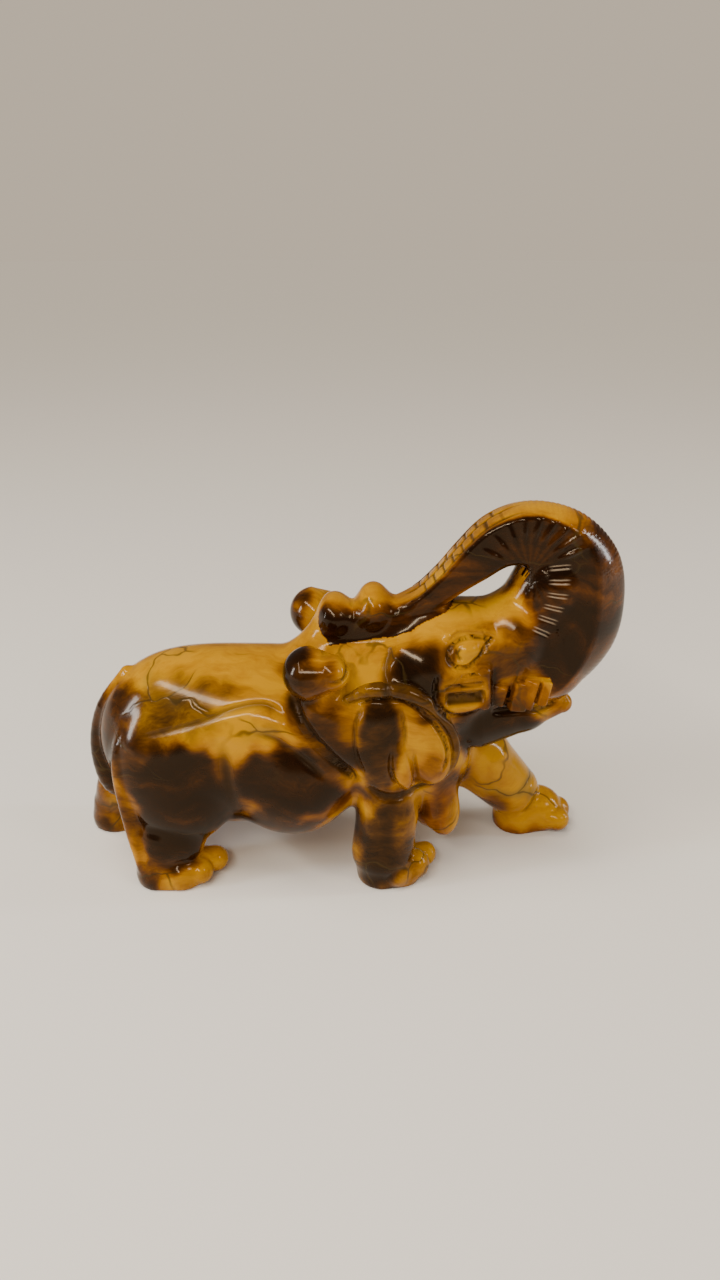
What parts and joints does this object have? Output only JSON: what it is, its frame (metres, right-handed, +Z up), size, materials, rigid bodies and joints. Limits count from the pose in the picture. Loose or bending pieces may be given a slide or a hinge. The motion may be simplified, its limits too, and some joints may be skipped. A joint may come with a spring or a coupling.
{
  "type": "carved stone elephant figurine",
  "caption": "Polished banded-stone elephant figurine, striding, with its trunk raised and curled back over the head to rest on the neck.",
  "frame": {"origin": "centre of the bounding box in plan, on the plane the soles stand on", "axes": "+X the way the elephant faces, +Y its left side, +Z up"},
  "size_m": [0.1, 0.03, 0.0685],
  "materials": {
    "golden_stone": "high polish, honey-gold tiger's eye with brown clouds and thin dark veins",
    "brown_stone": "high polish, dark red-brown tiger's eye with golden streaks"
  },
  "bodies": {
    "root": {"torso": "golden_stone", "head": "golden_stone", "lower_jaw": "golden_stone", "right_tusk": "golden_stone", "left_tusk": "golden_stone", "right_eye": "golden_stone", "left_eye": "golden_stone", "trunk_tip": "golden_stone", "right_ear": "golden_stone", "left_ear": "golden_stone", "front_right_leg": "golden_stone", "front_left_leg": "golden_stone", "front_right_foot": "golden_stone", "front_left_foot": "golden_stone", "hind_right_foot": "golden_stone", "hind_left_foot": "golden_stone", "trunk_root": "brown_stone", "trunk_arch": "brown_stone", "right_ear_curl": "brown_stone", "left_ear_curl": "brown_stone", "tail": "brown_stone", "hind_right_leg": "brown_stone", "hind_left_leg": "brown_stone"}
  },
  "joints": []
}
